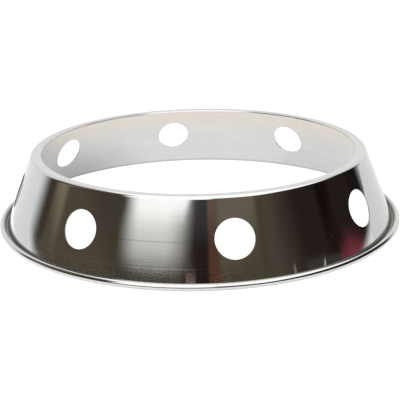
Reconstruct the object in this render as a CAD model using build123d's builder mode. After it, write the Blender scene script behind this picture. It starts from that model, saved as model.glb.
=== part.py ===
from build123d import *
import os
from math import atan2, cos, degrees, hypot, radians, sin, sqrt

# Wok ring: an open conical stand pressed from one disc of stainless sheet.
# The wide rim stands on the worktop or over the burner, and the bowl of a
# round-bottomed pan drops into the narrow opening at the top.
# Frame: origin on the ring's axis at the surface it stands on, +Z up,
# one vent hole on each of +X, +Y, -X and -Y. Lengths in millimetres.

# ---- driving dimensions ----
outer_d = 260.0          # over the rolled foot bead
height = 46.5            # surface it stands on to the crown of the shoulder
opening_d = 201.9        # raw inner edge of the turned-in lip
sheet_t = 0.7            # sheet thickness
wall_angle = 21.93       # wall leans in from the vertical, degrees
shoulder_r = 2.55        # outer radius of the bend between wall and lip
shoulder_rc = 105.39     # radius of the circle that the shoulder bend follows
lip_droop = 4.7          # lip falls towards the opening, degrees
bead_d = 4.0             # outside diameter of the rolled bead at the foot
bead_end = 215.0         # the curl stops here, degrees round the bead
foot_r = 0.47            # outer radius of the groove between wall and bead
edge_break = 0.12        # rounding of raw and punched edges
vent_d = 22.5            # round vent holes, punched square to the wall
vent_count = 8
vent_z = 24.46           # height of each vent's centre on the outer face

# ---- section geometry, in the (radius, height) half plane ----
t = sheet_t
beta = radians(wall_angle)
droop = radians(lip_droop)
bead_r = bead_d / 2

nr, nz = cos(beta), sin(beta)              # outward normal of the wall
dr, dz = sin(beta), -cos(beta)             # direction down the wall
sr, sz = shoulder_rc, height - shoulder_r  # centre of the shoulder bend
br, bz = outer_d / 2 - bead_r, bead_r      # centre of the bead

# centre of the foot groove: foot_r outside the wall's face, touching the bead
ar, az = sr + (shoulder_r + foot_r) * nr, sz + (shoulder_r + foot_r) * nz
pr, pz = ar - br, az - bz
half_b = pr * dr + pz * dz
run = -half_b - sqrt(half_b ** 2 - (pr ** 2 + pz ** 2 - (bead_r + foot_r) ** 2))
fr, fz = ar + run * dr, az + run * dz


def around(cr, cz, radius, angle):
    """Point on a circle of the section, angle in degrees from the outward direction."""
    return (cr + radius * cos(radians(angle)), cz + radius * sin(radians(angle)))


wall_a = wall_angle                         # direction of the wall's normal
lip_a = 90 + lip_droop                      # direction of the lip's normal
groove_a = degrees(atan2(bz - fz, br - fr))  # from the groove's centre to the bead's
seam_a = groove_a + 180                     # the same point seen from the bead's centre
bead_end_a = bead_end - 360                 # the curl runs clockwise from seam_a

# lip: top and under faces, cut square to the lip at the opening
lip_tr, lip_tz = around(sr, sz, shoulder_r, lip_a)
lip_len = (lip_tr - opening_d / 2) / cos(droop)
lip_top = (opening_d / 2, lip_tz - lip_len * sin(droop))
lip_under = (opening_d / 2, lip_top[1] - t / cos(droop))

vent_r = vent_d / 2
wall_c = sr * nr + sz * nz + shoulder_r     # the wall's outer face: r*nr + z*nz = wall_c
vent_rc = (wall_c - vent_z * nz) / nr       # wall radius at the vent centres

with BuildPart() as wok_ring:
    with BuildSketch(Plane.XZ) as section:
        with BuildLine() as outline:
            # outer face: lip, shoulder, wall, groove, then round the bead
            Line(lip_top, around(sr, sz, shoulder_r, lip_a))
            CenterArc((sr, sz), shoulder_r, lip_a, wall_a - lip_a)
            Line(around(sr, sz, shoulder_r, wall_a), around(fr, fz, foot_r, wall_a + 180))
            CenterArc((fr, fz), foot_r, wall_a + 180, groove_a + 360 - (wall_a + 180))
            CenterArc((br, bz), bead_r, seam_a, bead_end_a - seam_a)
            # raw end of the curl
            Line(around(br, bz, bead_r, bead_end_a), around(br, bz, bead_r - t, bead_end_a))
            # inner face, back to the lip
            CenterArc((br, bz), bead_r - t, bead_end_a, seam_a - bead_end_a)
            CenterArc((fr, fz), foot_r + t, groove_a + 360, (wall_a + 180) - (groove_a + 360))
            Line(around(fr, fz, foot_r + t, wall_a + 180), around(sr, sz, shoulder_r - t, wall_a))
            CenterArc((sr, sz), shoulder_r - t, wall_a, lip_a - wall_a)
            Line(around(sr, sz, shoulder_r - t, lip_a), lip_under)
            Line(lip_under, lip_top)
        make_face()
        # raw edges are barely broken
        corners = [lip_top, lip_under,
                   around(br, bz, bead_r, bead_end_a), around(br, bz, bead_r - t, bead_end_a)]
        raw = [v for v in section.vertices()
               if min(hypot(v.X - c[0], v.Y - c[1]) for c in corners) < 0.01]
        fillet(raw, radius=edge_break)
    revolve(axis=Axis.Z)

    # vent holes, each punched along the wall's normal
    vent_planes = []
    for i in range(vent_count):
        a = radians(i * 360 / vent_count)
        out = Vector(nr * cos(a), nr * sin(a), nz)
        centre = Vector(vent_rc * cos(a), vent_rc * sin(a), vent_z)
        vent_planes.append(Plane(origin=centre + out * 2.5, x_dir=(-sin(a), cos(a), 0), z_dir=out))
    with BuildSketch(*vent_planes):
        Circle(radius=vent_r)
    extrude(amount=-6, mode=Mode.SUBTRACT)

    # burr-free rims on the vents
    rims = [e for e in wok_ring.edges()
            if e.geom_type not in (GeomType.CIRCLE, GeomType.LINE)
            and abs(e.bounding_box().size.Z - vent_d * cos(beta)) < 1.0]
    fillet(rims, radius=edge_break)

wok_ring.part.label = "wok_ring"

os.makedirs("parts", exist_ok=True)
export_step(wok_ring.part, "parts/wok_ring.step")

print("rims", len(rims), "raw corners", len(raw), "lip top", [round(v, 3) for v in lip_top])
print("volume mm3", round(wok_ring.part.volume, 1), "valid", wok_ring.part.is_valid)
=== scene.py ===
from math import atan2, cos, degrees, pi, radians, sin, sqrt, tau

import bpy
import numpy as np
from mathutils import Matrix, Vector


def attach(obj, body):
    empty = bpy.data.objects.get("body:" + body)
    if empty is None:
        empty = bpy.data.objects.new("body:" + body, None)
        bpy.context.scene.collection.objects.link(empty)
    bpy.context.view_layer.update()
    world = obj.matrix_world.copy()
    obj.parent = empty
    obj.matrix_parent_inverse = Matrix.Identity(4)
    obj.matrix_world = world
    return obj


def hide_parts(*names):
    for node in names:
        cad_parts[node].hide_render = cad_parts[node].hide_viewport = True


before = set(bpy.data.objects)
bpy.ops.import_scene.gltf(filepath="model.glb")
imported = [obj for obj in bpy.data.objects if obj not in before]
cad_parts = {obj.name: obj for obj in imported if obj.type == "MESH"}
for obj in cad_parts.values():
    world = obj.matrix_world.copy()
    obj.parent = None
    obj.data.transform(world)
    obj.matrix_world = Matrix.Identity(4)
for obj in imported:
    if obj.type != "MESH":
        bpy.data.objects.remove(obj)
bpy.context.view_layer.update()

scene = bpy.context.scene


# ---------------------------------------------------------------- node helpers
class Tree:
    """Short calls for building a node tree."""

    def __init__(self, tree):
        self.tree = tree
        tree.nodes.clear()

    def node(self, kind, **props):
        n = self.tree.nodes.new(kind)
        for k, v in props.items():
            setattr(n, k, v)
        return n

    def put(self, value, socket):
        if hasattr(value, "is_output"):
            self.tree.links.new(value, socket)
        else:
            socket.default_value = value

    def math(self, op, *values, clamp=False):
        n = self.node("ShaderNodeMath", operation=op, use_clamp=clamp)
        for i, v in enumerate(values):
            self.put(v, n.inputs[i])
        return n.outputs[0]

    def step(self, value, low, high, smooth=True):
        """0 below low, 1 above high, eased between."""
        n = self.node("ShaderNodeMapRange", interpolation_type="SMOOTHSTEP" if smooth else "LINEAR")
        self.put(value, n.inputs["Value"])
        if low < high:
            n.inputs["From Min"].default_value, n.inputs["From Max"].default_value = low, high
            n.inputs["To Min"].default_value, n.inputs["To Max"].default_value = 0.0, 1.0
        else:
            n.inputs["From Min"].default_value, n.inputs["From Max"].default_value = high, low
            n.inputs["To Min"].default_value, n.inputs["To Max"].default_value = 1.0, 0.0
        return n.outputs["Result"]

    def window(self, value, a, b, soft):
        """1 between a and b, fading to 0 over soft outside them."""
        return self.math("MULTIPLY", self.step(value, a - soft, a), self.step(value, b + soft, b))

    def mix(self, factor, a, b):
        n = self.node("ShaderNodeMix", data_type="RGBA", clamp_factor=True)
        self.put(factor, n.inputs[0])
        for v, s in ((a, n.inputs[6]), (b, n.inputs[7])):
            self.put(v if hasattr(v, "is_output") else (*v, 1.0), s)
        return n.outputs[2]

    def mixv(self, factor, a, b):
        n = self.node("ShaderNodeMix", data_type="FLOAT", clamp_factor=True)
        self.put(factor, n.inputs[0])
        self.put(a, n.inputs[2])
        self.put(b, n.inputs[3])
        return n.outputs[0]

    def link(self, a, b):
        self.tree.links.new(a, b)

    def parts(self, vector):
        n = self.node("ShaderNodeSeparateXYZ")
        self.link(vector, n.inputs[0])
        return n.outputs

    def vector(self, *values):
        n = self.node("ShaderNodeCombineXYZ")
        for v, s in zip(values, n.inputs):
            self.put(v, s)
        return n.outputs[0]

    def noise(self, vector, scale=1.0, detail=2.0, rough=0.5):
        n = self.node("ShaderNodeTexNoise")
        self.link(vector, n.inputs["Vector"])
        n.inputs["Scale"].default_value = scale
        n.inputs["Detail"].default_value = detail
        n.inputs["Roughness"].default_value = rough
        return n.outputs[0]


# ---------------------------------------------------------------- the ring's mesh
# The CAD solid's own section, in millimetres, as a finer mesh that carries the
# surface's exact normals, because the outside is polished like a mirror.
SHEET = 0.7
LEAN, DROOP = radians(21.93), radians(4.7)
LIP_R = 100.95
SHOULDER_R, SHOULDER = 2.55, np.array([105.39, 43.95])
BEAD_R, BEAD = 2.0, np.array([128.0, 2.0])
BEAD_END = -145.0
GROOVE_R = 0.47
EDGE = 0.12
VENT_R, VENT_Z, VENTS = 11.25, 24.46, 8

UP_N = np.array([cos(LEAN), sin(LEAN)])         # the wall's outward normal, as (r, z)
DOWN = np.array([sin(LEAN), -cos(LEAN)])        # down the wall
LIP_N = np.array([-sin(DROOP), cos(DROOP)])     # the lip's normal
WALL_TOP = SHOULDER + SHOULDER_R * UP_N
WALL_C = WALL_TOP @ UP_N
to_bead = SHOULDER + (SHOULDER_R + GROOVE_R) * UP_N - BEAD
half_b = to_bead @ DOWN
run = -half_b - sqrt(half_b ** 2 - (to_bead @ to_bead - (BEAD_R + GROOVE_R) ** 2))
GROOVE = BEAD + to_bead + run * DOWN
WALL_LEN = run
FOOT_Z = float((WALL_TOP + WALL_LEN * DOWN)[1])
wall_a, lip_a = degrees(LEAN), 90 + degrees(DROOP)
groove_a = degrees(atan2(*(BEAD - GROOVE)[::-1])) + 360
seam_a = groove_a - 180


def spoke(a):
    return np.array([cos(radians(a)), sin(radians(a))])


def arc(centre, radius, a, b, steps, side=1):
    """Points and normals of an arc of the section; side -1 looks towards its centre."""
    g = np.radians(np.linspace(a, b, steps + 1))
    d = np.c_[np.cos(g), np.sin(g)]
    return centre + radius * d, side * d


def turn_between(a, b, steps):
    """Unit vectors turning evenly from a to b, along the last axis."""
    angle = np.arccos(np.clip((a * b).sum(-1, keepdims=True), -1, 1))
    return [(np.sin((1 - f) * angle) * a + np.sin(f * angle) * b) / np.sin(angle)
            for f in np.linspace(0, 1, steps + 1)]


def corner(point, a, b, steps=3):
    """A broken edge of the section between faces with normals a and b."""
    d = np.array(turn_between(a, b, steps))
    return point - EDGE * (a + b) / (1 + a @ b) + EDGE * d, d


def line(p, q, normal, steps):
    return p + np.linspace(0, 1, steps + 1)[:, None] * (q - p), np.tile(normal, (steps + 1, 1))


def chain(*runs):
    pts, nrm = [], []
    for ps, ns in runs:
        for p, n in zip(ps, ns):
            if not pts or np.hypot(*(p - pts[-1])) > 0.02:
                pts.append(p)
                nrm.append(n)
    return np.array(pts), np.array(nrm)


inward = np.array([-1.0, 0.0])
lip_end = SHOULDER + SHOULDER_R * LIP_N
lip_edge = np.array([LIP_R, lip_end[1] - (lip_end[0] - LIP_R) * sin(DROOP) / cos(DROOP)])
lip_under = lip_edge - np.array([0, SHEET / cos(DROOP)])
e_end = spoke(BEAD_END)
end_n = np.array([e_end[1], -e_end[0]])

# from the wall's foot round the bead and back to the inside of the wall
low_p, low_n = chain(
    arc(GROOVE, GROOVE_R, wall_a + 180, groove_a, 9, -1),
    arc(BEAD, BEAD_R, seam_a, BEAD_END + 3.5, 42),
    corner(BEAD + BEAD_R * e_end, e_end, end_n),
    corner(BEAD + (BEAD_R - SHEET) * e_end, end_n, -e_end),
    arc(BEAD, BEAD_R - SHEET, BEAD_END + 5.4, seam_a, 28, -1),
    arc(GROOVE, GROOVE_R + SHEET, groove_a, wall_a + 180, 9),
)
# from the top of the inside wall round the lip to the outside wall
mid = SHOULDER_R - SHEET
c1, c2 = corner(lip_under, -LIP_N, inward), corner(lip_edge, inward, LIP_N)
top_p, top_n = chain(
    arc(SHOULDER, mid, wall_a, lip_a, 10, -1),
    line(SHOULDER + mid * LIP_N, c1[0][0], -LIP_N, 3),
    c1, c2,
    line(c2[0][-1], lip_end, LIP_N, 3),
    arc(SHOULDER, SHOULDER_R, lip_a, wall_a, 16),
)

PER = 44                                         # columns to each vent
COLS = VENTS * PER
SIDE = 22                                        # rows down the wall
column_a = (np.arange(COLS) / COLS - 0.5 / VENTS) * tau

verts, norms, quads = [], [], []


def add(points, normals):
    first = sum(len(v) for v in verts)
    verts.append(points)
    norms.append(normals)
    return first + np.arange(len(points))


def around_axis(p, n, a):
    """Section points and normals (r, z) swung to the angles a."""
    c, s = np.cos(a), np.sin(a)
    return (np.c_[p[..., 0] * c, p[..., 0] * s, p[..., 1] + 0 * a],
            np.c_[n[..., 0] * c, n[..., 0] * s, n[..., 1] + 0 * a])


def join(a, b, closed=True):
    """Quads between two rows of vertices."""
    a2, b2 = (np.roll(a, -1), np.roll(b, -1)) if closed else (a[1:], b[1:])
    n = len(a2)
    quads.append(np.c_[a[:n], a2, b2, b[:n]])


def rings(points, normals):
    made = [add(*around_axis(p, n, column_a)) for p, n in zip(points, normals)]
    for a, b in zip(made, made[1:]):
        join(a, b)
    return made


low, top = rings(low_p, low_n), rings(top_p, top_n)


def wall_at(a, s, depth):
    """Points of the wall at angle a and distance s down it, depth under the outer face."""
    p = WALL_TOP - depth * UP_N + np.asarray(s)[..., None] * DOWN
    return around_axis(p, np.broadcast_to(UP_N, p.shape), np.asarray(a))


def punched(centre_a, phi, radius, depth):
    """Where a cylinder punched square through the wall meets the face at depth."""
    c, s = cos(centre_a), sin(centre_a)
    out = np.array([UP_N[0] * c, UP_N[0] * s, UP_N[1]])
    along, up = np.array([-s, c, 0.0]), np.array([-DOWN[0] * c, -DOWN[0] * s, -DOWN[1]])
    r0 = (WALL_C - VENT_Z * UP_N[1]) / UP_N[0]
    spokes = np.cos(phi)[:, None] * along + np.sin(phi)[:, None] * up
    q = np.array([r0 * c, r0 * s, VENT_Z]) + radius * spokes
    for _ in range(20):
        r = np.hypot(q[:, 0], q[:, 1])
        miss = r * UP_N[0] + q[:, 2] * UP_N[1] - (WALL_C - depth)
        slope = (q[:, :2] @ out[:2]) / r * UP_N[0] + out[2] * UP_N[1]
        q = q - (miss / slope)[:, None] * out
    a = np.arctan2(q[:, 1], q[:, 0])
    return q, spokes, np.c_[UP_N[0] * np.cos(a), UP_N[0] * np.sin(a), np.full(len(a), UP_N[1])]


RINGS = 11
s_vent = ((WALL_C - VENT_Z * UP_N[1]) / UP_N[0] - WALL_TOP[0]) * DOWN[0] + (VENT_Z - WALL_TOP[1]) * DOWN[1]
half = pi / VENTS
rows = np.linspace(0, WALL_LEN, SIDE + 1)
seams = {}
for depth, sign, upper, lower in ((0.0, 1, top[-1], low[0]), (SHEET, -1, top[0], low[-1])):
    for k in range(VENTS):                       # rows of vertices between the vents
        p, n = wall_at(np.full(SIDE - 1, column_a[k * PER]), rows[1:-1], depth)
        seams[sign, k] = np.r_[upper[k * PER], add(p, sign * n), lower[k * PER]]
for k in range(VENTS):
    centre_a = k * tau / VENTS
    span = np.arange(k * PER, (k + 1) * PER + 1) % COLS
    # round the patch's border: top edge, right side, bottom edge, left side
    u = np.linspace(-half, half, PER + 1)
    border_u = np.r_[u[:-1], np.full(SIDE, half), u[:0:-1], np.full(SIDE, -half)]
    border_s = np.r_[np.zeros(PER), rows[:-1], np.full(PER, WALL_LEN), rows[:0:-1]]
    count = len(border_u)
    seen = np.unwrap(np.arctan2(s_vent - border_s, border_u * 116.0))
    even = seen[PER // 2] - np.sign(seen[PER // 2] - seen[PER // 2 + 1]) * (np.arange(count) - PER // 2) * tau / count
    phi = 0.5 * (seen + even)
    edge_rows = []
    for depth, sign, upper, lower in ((0.0, 1, top[-1], low[0]), (SHEET, -1, top[0], low[-1])):
        left, right = seams[sign, k], seams[sign, (k + 1) % VENTS]
        border = np.r_[upper[span][:-1], right[:-1], lower[span][:0:-1], left[:0:-1]]
        centre, spokes, n = punched(centre_a, phi, VENT_R + EDGE, depth + sign * EDGE)
        hole = centre + sign * EDGE * n
        hole_a = np.arctan2(hole[:, 1], hole[:, 0])
        hole_u = (hole_a - centre_a + pi) % tau - pi
        hole_s = (np.hypot(hole[:, 0], hole[:, 1]) - WALL_TOP[0]) * DOWN[0] + (hole[:, 2] - WALL_TOP[1]) * DOWN[1]
        # broken edge, from the bore of the vent out to the face
        edge = [add(centre + EDGE * d, d) for d in turn_between(-spokes, sign * n, 3)]
        for a, b in zip(edge, edge[1:]):
            join(a, b)
        edge_rows.append(edge[0])
        last = edge[-1]
        for j in range(1, RINGS):
            f = (j / RINGS) ** 1.5
            p, m = wall_at(centre_a + hole_u + f * (border_u - hole_u), hole_s + f * (border_s - hole_s), depth)
            ring_j = add(p, sign * m)
            join(last, ring_j)
            last = ring_j
        join(last, border)
    join(edge_rows[0], edge_rows[1])

co, no, fa = np.vstack(verts), np.vstack(norms), np.vstack(quads)
# every quad looks the way its corners' normals do
q = co[fa]
flat = np.cross(q[:, 2] - q[:, 0], q[:, 3] - q[:, 1])
wrong = (flat * no[fa].sum(1)).sum(1) < 0
fa[wrong] = fa[wrong][:, ::-1]
mesh = bpy.data.meshes.new("ring_skin")
mesh.from_pydata((co / 1000).tolist(), [], fa.tolist())
mesh.polygons.foreach_set("use_smooth", np.ones(len(fa), bool))
mesh.update()
mesh.normals_split_custom_set_from_vertices(no.tolist())
# the inside of the wall is satin, the rest is polished
mid_face = co[fa].mean(1)
depth_in = WALL_C - np.hypot(mid_face[:, 0], mid_face[:, 1]) * UP_N[0] - mid_face[:, 2] * UP_N[1]
satin_face = (depth_in > SHEET / 2) & (mid_face[:, 2] < 43.5) & (np.hypot(mid_face[:, 0], mid_face[:, 1]) < 125.6)
bore_face = np.zeros(len(fa), bool)
for k in range(VENTS):
    c, sn = cos(k * tau / VENTS), sin(k * tau / VENTS)
    axis = np.array([UP_N[0] * c, UP_N[0] * sn, UP_N[1]])
    r0 = (WALL_C - VENT_Z * UP_N[1]) / UP_N[0]
    rel = mid_face - np.array([r0 * c, r0 * sn, VENT_Z])
    depth = rel @ axis
    away = np.linalg.norm(rel - depth[:, None] * axis, axis=1)
    bore_face |= (away < VENT_R + 0.05) & (np.abs(depth) < 4)
slot_of = np.where(bore_face, 2, np.where(satin_face, 1, 0))
mesh.polygons.foreach_set("material_index", slot_of.astype(np.int32))
ring = bpy.data.objects.new("ring_skin", mesh)
scene.collection.objects.link(ring)
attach(ring, "root")
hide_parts("wok_ring")

# ---------------------------------------------------------------- camera
# A pinhole camera at the photograph's angle. The vents sit at multiples of 45
# degrees in the row frame, and the camera stands 9.46 degrees off the -Y vent.
TURN = radians(-9.46)


def turned(v):
    return Matrix.Rotation(TURN, 3, "Z") @ Vector(v)


cam_pos = turned((0.0, -0.596097, 0.206735))
forward = turned((0.000759, 0.949141, -0.314851)).normalized()
level = forward.cross(Vector((0, 0, 1))).normalized()
upright = level.cross(forward)
roll = -0.0192
cam_x = cos(roll) * level + sin(roll) * upright
cam_y = -sin(roll) * level + cos(roll) * upright
cam_data = bpy.data.cameras.new("camera")
cam_data.sensor_width = 36.0
cam_data.lens = 950.6644 / 400 * 36.0
cam_data.clip_start, cam_data.clip_end = 0.05, 100.0
cam = bpy.data.objects.new("camera", cam_data)
rot = Matrix((cam_x, cam_y, -forward)).transposed()
cam.matrix_world = Matrix.Translation(cam_pos) @ rot.to_4x4()
scene.collection.objects.link(cam)
scene.camera = cam

# ---------------------------------------------------------------- colour
scene.view_settings.view_transform = "Standard"
scene.view_settings.look = "None"
scene.view_settings.exposure = 0.0
scene.view_settings.gamma = 1.0

# ---------------------------------------------------------------- studio
# Pale floor, bright enough to stay white in the picture.
floor_mesh = bpy.data.meshes.new("floor")
E = 30.0
floor_mesh.from_pydata([(-E, -E, 0), (E, -E, 0), (E, E, 0), (-E, E, 0)], [], [(0, 1, 2, 3)])
floor = bpy.data.objects.new("floor", floor_mesh)
scene.collection.objects.link(floor)
floor.location.z = -0.0002
mat = bpy.data.materials.new("floor_paper")
mat.use_nodes = True
t = Tree(mat.node_tree)
out = t.node("ShaderNodeOutputMaterial")
emit = t.node("ShaderNodeEmission")
emit.inputs["Color"].default_value = (1.0, 1.0, 1.0, 1)
spot = t.node("ShaderNodeTexCoord")
fx, fy, _ = t.parts(spot.outputs["Object"])
reach = t.math("SQRT", t.math("ADD", t.math("MULTIPLY", fx, fx), t.math("MULTIPLY", fy, fy)))
# azimuth on the floor from the camera's right, anticlockwise
bearing = t.math("ADD", t.math("MULTIPLY", t.math("ARCTAN2", fy, fx), 180 / pi), -degrees(TURN))
foot_shade = t.math("MULTIPLY_ADD", t.step(reach, 0.095, 0.122), 0.28, 0.17)
all_round = t.math("MULTIPLY_ADD", t.math("LESS_THAN", bearing, -60.0), 360.0, bearing)
left_shade = t.math("MULTIPLY", t.window(all_round, 140, 205, 40), foot_shade)
right_shade = t.math("MULTIPLY", t.window(bearing, 0, 50, 25), 0.08)
inside = t.math("MULTIPLY", t.math("ADD", left_shade, right_shade), t.step(reach, 0.127, 0.125))
outside = t.math("MULTIPLY", t.mixv(t.step(fx, -0.05, 0.05), 0.10, 0.17), t.step(reach, 0.127, 0.133))
shade = t.math("ADD", inside, outside)
# the paper close to the bead is lit more strongly in front and on the left
close = t.math("MULTIPLY", t.window(reach, 0.1325, 0.150, 0.0025), t.step(fx, 0.12, 0.09))
shade = t.math("SUBTRACT", shade, t.math("MULTIPLY", close, 0.28))
seen_directly = t.node("ShaderNodeLightPath").outputs["Is Camera Ray"]
shade = t.math("MULTIPLY", shade, t.math("SUBTRACT", 1.0, seen_directly))
t.link(t.math("MULTIPLY", t.math("SUBTRACT", 1.0, shade), 1.15), emit.inputs["Strength"])
t.link(emit.outputs[0], out.inputs["Surface"])
floor_mesh.materials.append(mat)

# The room round the studio: dark walls, a softbox beside the camera, a wide light
# over the camera and a pale backdrop behind the ring. Camera rays see plain pale
# paper instead.
world = bpy.data.worlds.new("studio")
scene.world = world
world.use_nodes = True
w = Tree(world.node_tree)
coord = w.node("ShaderNodeTexCoord")
turn = w.node("ShaderNodeVectorRotate", rotation_type="Z_AXIS")
turn.inputs["Angle"].default_value = -TURN
w.link(coord.outputs["Generated"], turn.inputs["Vector"])
split = w.node("ShaderNodeSeparateXYZ")
w.link(turn.outputs[0], split.inputs[0])
dx, dy, dz = split.outputs
el = w.math("MULTIPLY", w.math("ARCSINE", dz), 180 / pi)
# azimuth measured from the camera's side: 0 towards the camera, + to its right
az = w.math("MULTIPLY", w.math("ARCTAN2", dx, w.math("MULTIPLY", dy, -1.0)), 180 / pi)
az_abs = w.math("ABSOLUTE", az)

STEEL = 0.58                                     # the steel's reflectance


def shown(r, g, b):
    """The light that shows as this sRGB colour when the steel reflects it."""
    return tuple((((c / 255 + 0.055) / 1.055) ** 2.4 if c > 10 else c / 255 / 12.92) / STEEL for c in (r, g, b))


colour = w.mix(w.step(el, 19, 14), shown(61, 55, 47), shown(72, 66, 55))
# left: a lighter olive panel, darker low down
colour = w.mix(w.step(az, -101.5, -107.5), colour, shown(55, 50, 41))
panel = w.math("MULTIPLY", w.window(az, -101.5, -96.5, 6), w.step(el, 5.6, 10.5))
colour = w.mix(panel, colour, shown(113, 104, 86))
# right of the softbox: a black curtain, then tan and olive walls fading into the dark
colour = w.mix(w.window(az, -8, 4, 5), colour, w.mix(w.step(el, 22.5, 24), shown(34, 26, 24), shown(47, 45, 49)))
colour = w.mix(w.window(az, 6.5, 13, 3), colour, w.mix(w.step(el, 22.6, 25), shown(76, 52, 42), shown(90, 76, 66)))
colour = w.mix(w.window(az, 14, 34, 5), colour, w.mix(w.step(el, 19.5, 24), shown(70, 64, 52), shown(96, 89, 78)))
colour = w.mix(w.window(az, 42, 44, 8), colour, shown(68, 62, 53))
colour = w.mix(w.step(az, 44, 66), colour, shown(36, 28, 26))
colour = w.mix(w.window(az, 82, 88, 5), colour, w.mix(w.step(el, 10.5, 13), shown(32, 20, 18), shown(18, 13, 12)))
colour = w.mix(w.window(az, 94, 106, 5), colour, shown(34, 26, 25))
colour = w.mix(w.window(az, 111, 124, 4), colour, shown(24, 20, 17))
low = w.step(el, 21.3, 20.6)
colour = w.mix(w.math("MULTIPLY", w.window(az, -7.5, -4, 2), low), colour, shown(104, 88, 78))
# directions with the same bowed elevation show along one height of the wall
bowed = w.math("MULTIPLY_ADD", w.math("MULTIPLY", az, az), 0.00165, el)
colour = w.mix(w.math("MULTIPLY", w.window(az, 64, 87, 4), w.step(bowed, 21.4, 20.9)), colour, shown(54, 51, 45))
# a dark red chair low on the right
seat = w.math("MINIMUM", w.math("MULTIPLY_ADD", w.math("SUBTRACT", az, 85.0), -0.19, 9.0),
              w.math("MULTIPLY_ADD", w.math("SUBTRACT", az, 95.5), -0.36, 7.0))
red = w.math("MULTIPLY", w.window(az, 88, 106, 3), w.step(w.math("SUBTRACT", seat, el), -1.1, 1.5))
colour = w.mix(red, colour, shown(118, 50, 62))
# two small lamps in the dark on the right
lamp = w.math("MULTIPLY", w.window(az, 73.0, 74.1, 1.0), w.window(el, 11.74, 11.78, 0.12))
tube = w.math("MULTIPLY", w.window(az, 54.2, 54.6, 0.9), w.window(el, 14.0, 15.8, 0.5))
colour = w.mix(w.math("MAXIMUM", w.math("MULTIPLY", lamp, 0.7), w.math("MULTIPLY", tube, 0.16)), colour, shown(235, 235, 235))
# softbox beside the camera with soft sides, brightest along its bowed top edge
tuck = w.math("MULTIPLY", w.math("MINIMUM", w.math("SUBTRACT", bowed, 21.8), 0.0), 7.0)
across_left = w.math("ADD", w.math("MULTIPLY_ADD", w.math("SUBTRACT", el, 22.0), 0.6, az), tuck)
fade = w.mixv(w.step(bowed, 23.6, 25.0), 16.5, 13.2)
left_side = w.step(w.math("DIVIDE", w.math("ADD", across_left, 37.5), fade), -1.0, 0.0)
right_side = w.step(w.math("SUBTRACT", az, w.math("MULTIPLY", w.math("SUBTRACT", el, 22.0), 0.6)), -3.0, -23.0)
soft = w.math("MULTIPLY", w.math("MULTIPLY", left_side, right_side), w.step(bowed, 20.5, 22.4))
bright = w.mix(w.step(bowed, 21.2, 23.8), shown(170, 169, 165), shown(204, 205, 201))
bright = w.mix(w.step(bowed, 23.4, 25.1), bright, shown(250, 251, 248))
colour = w.mix(soft, colour, bright)
# the wide light overhead: on the ceiling, and down to the softbox on the camera's left
over_el = w.math("MAXIMUM", dz, 0.05)
across = w.math("DIVIDE", dx, over_el)
ahead = w.math("DIVIDE", w.math("MULTIPLY", dy, -1.0), over_el)
ceiling = w.math("MULTIPLY", w.window(across, -0.38, 0.75, 0.28), w.window(ahead, -0.6, 0.8, 0.5))
down_left = w.mixv(w.step(el, 30, 45), 0.0, 13.0)
down = w.math("MULTIPLY", w.math("MULTIPLY", w.step(w.math("SUBTRACT", az, down_left), -54, -47), w.step(az, 12, 5)), w.step(w.math("SUBTRACT", el, w.math("MULTIPLY", w.step(az, -12, 0), 2.4)), 23.8, 25.0))
# pale backdrop behind the ring, from the floor up
left_edge = w.math("MULTIPLY_ADD", el, 0.28, 113.0)
right_edge = w.math("MULTIPLY_ADD", el, 0.40, 124.5)
edge = w.mixv(w.step(az, -1.0, 1.0), left_edge, right_edge)
back = w.math("MULTIPLY", w.step(w.math("SUBTRACT", az_abs, edge), -5.5, 11.0), w.step(el, 60, 45))
colour = w.mix(back, colour, w.mix(w.step(dx, -0.6, 0.6), shown(203, 204, 205), shown(206, 206, 203)))
colour = w.mix(w.math("MAXIMUM", ceiling, down), colour, shown(255, 255, 253))
# the paper floor runs on to the horizon; it ends nearer on the right
near_end = w.mixv(w.step(az, 5, 40), -1.0, -7.0)
side_end = w.math("MULTIPLY_ADD", w.math("SUBTRACT", az_abs, 105.0), -0.22, 3.1)
horizon = w.mixv(w.step(az_abs, 88, 98), near_end, side_end)
colour = w.mix(w.step(w.math("SUBTRACT", el, horizon), 0.5, -0.7), colour, (1.15, 1.15, 1.15))

path = w.node("ShaderNodeLightPath")
colour = w.mix(path.outputs["Is Camera Ray"], colour, (0.93, 0.93, 0.93))
bg = w.node("ShaderNodeBackground")
w.link(colour, bg.inputs["Color"])
bg.inputs["Strength"].default_value = 1.0
wout = w.node("ShaderNodeOutputWorld")
w.link(bg.outputs[0], wout.inputs["Surface"])

# ---------------------------------------------------------------- stainless steel
MM = 1000.0


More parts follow.
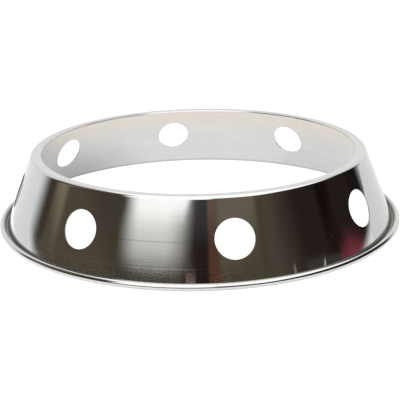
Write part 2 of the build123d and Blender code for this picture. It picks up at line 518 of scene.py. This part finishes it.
class Steel(Tree):
    """A steel material with the ring's own coordinates in millimetres and degrees."""

    def __init__(self, name):
        material = bpy.data.materials.new(name)
        material.use_nodes = True
        super().__init__(material.node_tree)
        self.material = material
        out = self.node("ShaderNodeOutputMaterial")
        self.bsdf = self.node("ShaderNodeBsdfPrincipled")
        self.link(self.bsdf.outputs[0], out.inputs["Surface"])
        self.bsdf.inputs["Metallic"].default_value = 1.0
        here = self.node("ShaderNodeTexCoord").outputs["Object"]
        self.here = here
        self.x, self.y, z = self.parts(here)
        self.z = self.math("MULTIPLY", z, MM)
        r = self.math("SQRT", self.math("ADD", self.math("MULTIPLY", self.x, self.x), self.math("MULTIPLY", self.y, self.y)))
        self.r = self.math("MULTIPLY", r, MM)
        # around the ring, 0 at the side that faces the camera, + to the camera's right
        turned_x = self.math("ADD", self.math("MULTIPLY", self.x, cos(TURN)), self.math("MULTIPLY", self.y, sin(TURN)))
        turned_y = self.math("SUBTRACT", self.math("MULTIPLY", self.y, cos(TURN)), self.math("MULTIPLY", self.x, sin(TURN)))
        self.side = self.math("MULTIPLY", self.math("ARCTAN2", turned_x, self.math("MULTIPLY", turned_y, -1.0)), 180 / pi)
        # distance outside the wall's outer face
        self.out = self.math("ADD", self.math("MULTIPLY", self.r, float(UP_N[0])),
                             self.math("MULTIPLY_ADD", self.z, float(UP_N[1]), -float(WALL_C)))

    def around(self, along, across):
        """Noise coordinates drawn out round the ring: features 1/along and 1/across millimetres."""
        return self.vector(self.math("MULTIPLY", self.x, along * MM), self.math("MULTIPLY", self.y, along * MM),
                           self.math("MULTIPLY", self.z, across))

    def line(self, value, centre, half_width):
        return self.step(self.math("ABSOLUTE", self.math("SUBTRACT", value, centre)), half_width, half_width * 0.3)

    def bump(self, height, distance, normal=None):
        n = self.node("ShaderNodeBump")
        n.inputs["Strength"].default_value = 1.0
        n.inputs["Distance"].default_value = distance
        self.link(height, n.inputs["Height"])
        if normal is not None:
            self.link(normal, n.inputs["Normal"])
        return n.outputs[0]


# outside, lip and bead: polished, with fine turning marks round the ring
s = Steel("steel_polished")
fine = s.noise(s.around(0.05, 1.6), detail=1.0, rough=0.5)
streak = s.noise(s.around(0.018, 0.45), detail=2.0)
speck = s.noise(s.around(1.6, 2.6), detail=1.0, rough=0.6)
grain = s.noise(s.around(0.35, 1.3), detail=1.0, rough=0.6)
grime = s.noise(s.around(0.06, 0.5), detail=3.0, rough=0.65)
# a dull, worn band along the foot on the near left
worn = s.math("MULTIPLY", s.step(s.math("MULTIPLY_ADD", grime, 5.0, s.z), 13.5, 10.5), s.window(s.side, -47, 6, 10))
worn = s.math("MULTIPLY", worn, s.step(s.out, 0.05, 0.02))
tone = s.math("MULTIPLY_ADD", s.math("SUBTRACT", streak, 0.5), 0.06, 1.0)
tone = s.math("ADD", tone, s.math("MULTIPLY", s.math("SUBTRACT", fine, 0.5), 0.05))
tone = s.math("ADD", tone, s.math("MULTIPLY", worn, s.math("MULTIPLY_ADD", s.math("SUBTRACT", speck, 0.5), 2.7, 0.02)))
# scratches round the wall: light low down on the near left, a dark one at mid height
wander = s.math("MULTIPLY", s.math("SUBTRACT", s.noise(s.around(0.02, 0.0)), 0.5), 0.4)
level = s.math("ADD", s.z, wander)
near_left = s.window(s.side, -50, 0, 6)
patchy = s.step(s.noise(s.around(0.09, 0.0), detail=3.0), 0.38, 0.60)
light_lines = s.math("MAXIMUM", s.line(level, 9.8, 0.34), s.math("MULTIPLY", s.line(level, 11.6, 0.26), 0.35))
light_lines = s.math("MAXIMUM", light_lines, s.math("MULTIPLY", s.line(level, 8.0, 0.26), 0.45))
light_lines = s.math("MULTIPLY", s.math("MULTIPLY", light_lines, near_left), s.math("MULTIPLY_ADD", patchy, 0.5, 0.15))
dark_line = s.math("MULTIPLY", s.line(level, 23.3, 0.55), s.window(s.side, -22, -8, 6))
tone = s.math("MULTIPLY", tone, s.math("MULTIPLY_ADD", dark_line, -0.24, 1.0))
# the groove between wall and bead never meets the polishing wheel, so it is rougher; its darker base colour is painted
# shade
dull_groove_shade = s.math("MULTIPLY", s.step(s.out, 0.10, 0.35), s.step(s.r, 127.75, 127.25))
dull_groove_shade = s.math("MULTIPLY", dull_groove_shade, s.step(s.z, 1.2, 1.4))
base = s.mix(light_lines, s.vector(*([s.math("MULTIPLY", tone, STEEL)] * 3)), (0.92, 0.91, 0.88))
# painted shade in the groove, darkest next to the wall
base = s.mix(dull_groove_shade, base, s.mix(s.step(s.r, 126.2, 127.5), (0.17, 0.155, 0.14), (0.40, 0.38, 0.35)))
# the lip's raw edge: a painted highlight at the far side, painted shade on both sides of that
raw_edge = s.step(s.r, LIP_R + 1.0, LIP_R + 0.5)
to_back = s.math("ABSOLUTE", s.side)
base = s.mix(s.math("MULTIPLY", raw_edge, s.step(to_back, 156, 162)), base, (0.84, 0.84, 0.83))
# painted shade: a darker raw edge on both sides of the far side
base = s.mix(s.math("MULTIPLY", raw_edge, s.window(to_back, 131, 154, 5)), base, (0.34, 0.33, 0.32))
# three tiny painted glints: lighter, rougher spots
painted_glints = 0.0
for side, z, size in ((47.3, 34.3, 0.5), (38.8, 16.8, 0.7), (-27.8, 43.0, 0.5)):
    du = s.math("MULTIPLY", s.math("SUBTRACT", s.side, side), 2.1)
    dv = s.math("SUBTRACT", s.z, z)
    far = s.math("SQRT", s.math("ADD", s.math("MULTIPLY", du, du), s.math("MULTIPLY", dv, dv)))
    painted_glints = s.math("ADD", s.step(far, size, size * 0.4), painted_glints)
base = s.mix(s.math("MULTIPLY", painted_glints, 0.5), base, (0.80, 0.78, 0.74))
s.link(base, s.bsdf.inputs["Base Color"])
right = s.step(s.side, -6, 10)
rough = s.math("MULTIPLY", s.math("MULTIPLY_ADD", streak, 0.02, 0.045), s.mixv(right, 1.0, 0.5))
rough = s.math("ADD", rough, s.math("MULTIPLY", worn, -0.015))
rough = s.math("ADD", rough, s.math("MULTIPLY", light_lines, 0.06))
rough = s.math("ADD", rough, s.math("MULTIPLY", dull_groove_shade, 0.25))
rough = s.math("ADD", rough, s.math("MULTIPLY", painted_glints, 0.12))
s.link(rough, s.bsdf.inputs["Roughness"])
s.bsdf.inputs["Anisotropic"].default_value = 0.4
s.bsdf.inputs["Anisotropic Rotation"].default_value = 0.25
s.link(s.node("ShaderNodeTangent", direction_type="RADIAL", axis="Z").outputs[0], s.bsdf.inputs["Tangent"])
# the turning marks are fainter on the right
marks = s.math("MULTIPLY", s.math("MULTIPLY_ADD", grain, 0.3, fine), s.mixv(right, 1.0, 0.35))
bumps = s.bump(marks, 1.4e-6)
s.link(s.bump(s.math("MULTIPLY", speck, worn), 1.3e-6, bumps), s.bsdf.inputs["Normal"])
mesh.materials.append(s.material)

# inside of the wall: satin, with a painted warm reflection toward the top under the lip and faint clouds
s = Steel("steel_satin")
clouds = s.noise(s.here, scale=0.055 * MM, detail=3.0, rough=0.55)
bands = s.noise(s.around(0.012, 0.16), detail=2.0)
fine = s.noise(s.around(0.06, 1.2), detail=2.0)
# painted warm reflection: a warmer, lighter base colour toward the top of the inside
upper = s.step(s.math("MULTIPLY_ADD", s.math("SUBTRACT", clouds, 0.5), 9.0, s.z), 23, 43)
base = s.mix(s.step(s.math("MULTIPLY_ADD", s.math("SUBTRACT", bands, 0.5), 10.0, s.z), 6, 20), (0.585, 0.590, 0.585), (0.600, 0.610, 0.600))
base = s.mix(upper, base, (0.665, 0.615, 0.550))
tone = s.math("MULTIPLY_ADD", s.math("SUBTRACT", clouds, 0.5), 0.12, 1.0)
tone = s.math("ADD", tone, s.math("MULTIPLY", s.math("SUBTRACT", bands, 0.5), 0.10))
tone = s.math("ADD", tone, s.math("MULTIPLY", s.math("SUBTRACT", fine, 0.5), 0.03))
scaled = s.node("ShaderNodeVectorMath", operation="SCALE")
# painted shade: the inside darker along the foot of the wall
hem_shade = s.step(s.z, FOOT_Z + 1.1, FOOT_Z + 0.3)
tone = s.math("MULTIPLY", tone, s.math("MULTIPLY_ADD", hem_shade, -0.2, 1.0))
s.link(base, scaled.inputs[0])
s.link(tone, scaled.inputs["Scale"])
s.link(scaled.outputs[0], s.bsdf.inputs["Base Color"])
s.link(s.math("MULTIPLY_ADD", clouds, 0.10, 0.22), s.bsdf.inputs["Roughness"])
s.link(s.bump(fine, 0.4e-6), s.bsdf.inputs["Normal"])
mesh.materials.append(s.material)

# punched bores of the vents: matt, cut across; those on the camera's left carry painted shade
s = Steel("steel_cut")
burr = s.noise(s.here, scale=1.6 * MM, detail=2.0, rough=0.6)
# painted shade: far darker bores on the camera's left
bore_shade = s.window(s.side, -100, -60, 8)
cut = s.mix(bore_shade, s.mix(burr, (0.46, 0.455, 0.445), (0.52, 0.515, 0.505)), s.mix(burr, (0.085, 0.09, 0.095), (0.12, 0.125, 0.13)))
s.link(cut, s.bsdf.inputs["Base Color"])
s.link(s.math("MULTIPLY_ADD", burr, 0.1, 0.35), s.bsdf.inputs["Roughness"])
s.link(s.bump(burr, 1.0e-6), s.bsdf.inputs["Normal"])
mesh.materials.append(s.material)
